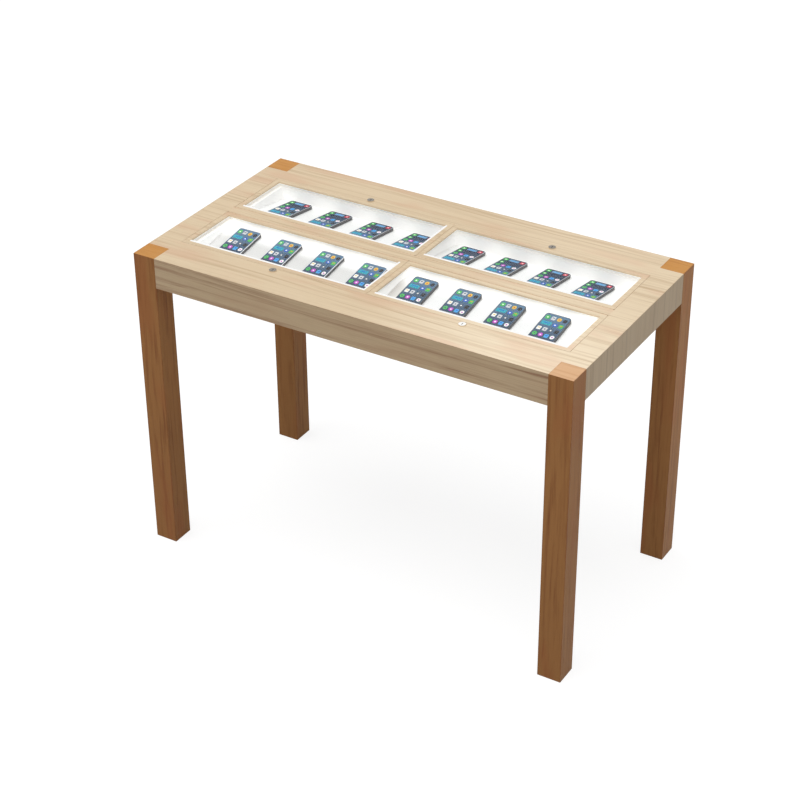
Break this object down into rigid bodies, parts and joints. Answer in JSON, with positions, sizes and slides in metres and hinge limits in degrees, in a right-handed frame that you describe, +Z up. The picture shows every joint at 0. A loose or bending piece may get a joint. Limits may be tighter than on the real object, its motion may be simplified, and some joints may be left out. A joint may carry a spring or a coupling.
{
  "type": "display table",
  "caption": "Shop display table on square legs, with hinged and lockable glass lids over shallow sloping wells that show sample handsets.",
  "frame": {"origin": "middle of the footprint, at the floor", "axes": "+X along the length to the right, +Y from the front to the back, +Z up"},
  "size_m": [1.2, 0.64, 0.8415],
  "materials": {
    "leg_wood": "satin oiled",
    "top_wood": "satin lacquer",
    "side_wood": "satin lacquer",
    "inner_wood": "planed",
    "window_glass": "polished",
    "white_panel": "gloss",
    "white_strip": "gloss",
    "steel": "brushed",
    "handset_case": "gloss",
    "handset_screen": "gloss"
  },
  "bodies": {
    "table": {"apron_back": "side_wood", "apron_front": "side_wood", "apron_left": "side_wood", "apron_right": "side_wood", "board_hinges": "steel", "centre_beam": "inner_wood", "cross_bearer_back": "inner_wood", "cross_bearer_front": "inner_wood", "handset_faces": "handset_screen", "handset_shells": "handset_case", "hinge_pins": "steel", "leg_back_left": "leg_wood", "leg_back_right": "leg_wood", "leg_front_left": "leg_wood", "leg_front_right": "leg_wood", "lock_housings": "steel", "lock_nuts": "steel", "top_board_back": "top_wood", "top_board_centre": "top_wood", "top_board_front": "top_wood", "top_board_left": "top_wood", "top_board_right": "top_wood", "top_dowels": "inner_wood", "well_deck_back_left": "white_panel", "well_deck_back_right": "white_panel", "well_deck_front_left": "white_panel", "well_deck_front_right": "white_panel", "well_walls_back_left": "white_panel", "well_walls_back_right": "white_panel", "well_walls_front_left": "white_panel", "well_walls_front_right": "white_panel"},
    "lid_front_left": {"lid_frame_front_left": "top_wood", "lid_glass_front_left": "window_glass", "lid_trim_front_left": "white_strip", "lid_hinge_front_left": "steel", "keeper_front_left": "steel"},
    "lock_front_left": {"lock_plug_front_left": "steel", "lock_cam_front_left": "steel"},
    "lid_front_right": {"lid_frame_front_right": "top_wood", "lid_glass_front_right": "window_glass", "lid_trim_front_right": "white_strip", "lid_hinge_front_right": "steel", "keeper_front_right": "steel"},
    "lock_front_right": {"lock_plug_front_right": "steel", "lock_cam_front_right": "steel"},
    "lid_back_left": {"lid_frame_back_left": "top_wood", "lid_glass_back_left": "window_glass", "lid_trim_back_left": "white_strip", "lid_hinge_back_left": "steel", "keeper_back_left": "steel"},
    "lock_back_left": {"lock_plug_back_left": "steel", "lock_cam_back_left": "steel"},
    "lid_back_right": {"lid_frame_back_right": "top_wood", "lid_glass_back_right": "window_glass", "lid_trim_back_right": "white_strip", "lid_hinge_back_right": "steel", "keeper_back_right": "steel"},
    "lock_back_right": {"lock_plug_back_right": "steel", "lock_cam_back_right": "steel"}
  },
  "joints": [
    {"name": "lid_hinge_front_left", "type": "hinge", "parent": "table", "child": "lid_front_left", "pos_m": [-0.267, -0.0154, 0.8384], "axis": [-1, 0, 0], "range_deg": [0, 85]},
    {"name": "lock_turn_front_left", "type": "hinge", "parent": "table", "child": "lock_front_left", "pos_m": [-0.256, -0.2225, 0.84], "axis": [0, 0, 1], "range_deg": [0, 90]},
    {"name": "lid_hinge_front_right", "type": "hinge", "parent": "table", "child": "lid_front_right", "pos_m": [0.267, -0.0154, 0.8384], "axis": [-1, 0, 0], "range_deg": [0, 85]},
    {"name": "lock_turn_front_right", "type": "hinge", "parent": "table", "child": "lock_front_right", "pos_m": [0.266, -0.2225, 0.84], "axis": [0, 0, 1], "range_deg": [0, 90]},
    {"name": "lid_hinge_back_left", "type": "hinge", "parent": "table", "child": "lid_back_left", "pos_m": [-0.267, 0.0154, 0.8384], "axis": [1, 0, 0], "range_deg": [0, 85]},
    {"name": "lock_turn_back_left", "type": "hinge", "parent": "table", "child": "lock_back_left", "pos_m": [-0.256, 0.2225, 0.84], "axis": [0, 0, -1], "range_deg": [0, 90]},
    {"name": "lid_hinge_back_right", "type": "hinge", "parent": "table", "child": "lid_back_right", "pos_m": [0.267, 0.0154, 0.8384], "axis": [1, 0, 0], "range_deg": [0, 85]},
    {"name": "lock_turn_back_right", "type": "hinge", "parent": "table", "child": "lock_back_right", "pos_m": [0.266, 0.2225, 0.84], "axis": [0, 0, -1], "range_deg": [0, 90]}
  ]
}
